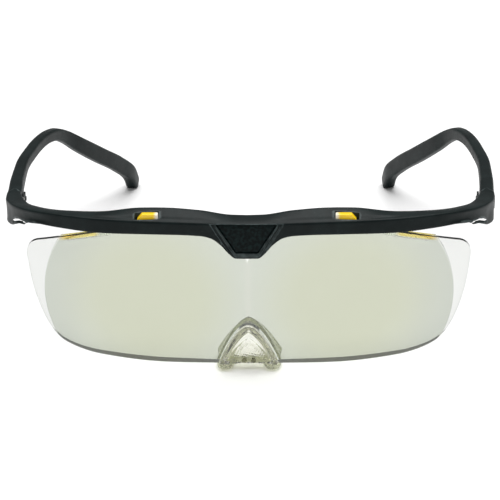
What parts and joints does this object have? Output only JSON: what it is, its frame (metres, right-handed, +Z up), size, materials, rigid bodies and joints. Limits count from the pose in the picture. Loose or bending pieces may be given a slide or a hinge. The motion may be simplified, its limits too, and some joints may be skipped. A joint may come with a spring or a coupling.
{
  "type": "magnifying loupe spectacles",
  "caption": "Hands-free magnifying spectacles: one wide wrapped lens under a black brow bar, a soft clear nose saddle and two folding temples with ear hooks.",
  "frame": {"origin": "centre of the footprint, on the plane that the nose lobes and the hook tips stand on", "axes": "+X towards the wearer's left, +Y towards the back of the wearer's head, +Z up; the lens faces -Y"},
  "size_m": [0.1626, 0.1603, 0.0564],
  "materials": {
    "frame_black": "satin black moulded nylon",
    "temple_black": "satin black moulded nylon",
    "inlay_dark": "dark mottled matt",
    "lens_clear": "clear polished lens plastic with a faint grey-green tint",
    "carrier_clear": "clear rigid plastic",
    "silicone_clear": "translucent silicone",
    "peg_clear": "clear rigid plastic",
    "hinge_steel": "blackened satin steel",
    "screw_steel": "machined steel",
    "rivet_steel": "blackened, headed steel"
  },
  "bodies": {
    "front": {"front_frame": "frame_black", "bridge_inlay": "inlay_dark", "magnifying_lens": "lens_clear", "nose_carrier": "carrier_clear", "nose_pad": "silicone_clear", "nose_pad_pegs": "peg_clear", "hinge_front_leaf_left": "hinge_steel", "hinge_screw_left": "screw_steel", "hinge_nut_left": "screw_steel", "front_leaf_rivets_left": "rivet_steel", "hinge_front_leaf_right": "hinge_steel", "hinge_screw_right": "screw_steel", "hinge_nut_right": "screw_steel", "front_leaf_rivets_right": "rivet_steel"},
    "temple_left": {"temple_left": "temple_black", "hinge_temple_leaf_left": "hinge_steel", "temple_leaf_rivets_left": "rivet_steel"},
    "temple_right": {"temple_right": "temple_black", "hinge_temple_leaf_right": "hinge_steel", "temple_leaf_rivets_right": "rivet_steel"}
  },
  "joints": [
    {"name": "fold_left", "type": "hinge", "parent": "front", "child": "temple_left", "pos_m": [0.0756, -0.0449, 0.04535], "axis": [0, 0, 1], "range_deg": [0, 85]},
    {"name": "fold_right", "type": "hinge", "parent": "front", "child": "temple_right", "pos_m": [-0.0756, -0.0449, 0.04535], "axis": [0, 0, -1], "range_deg": [0, 78]}
  ]
}
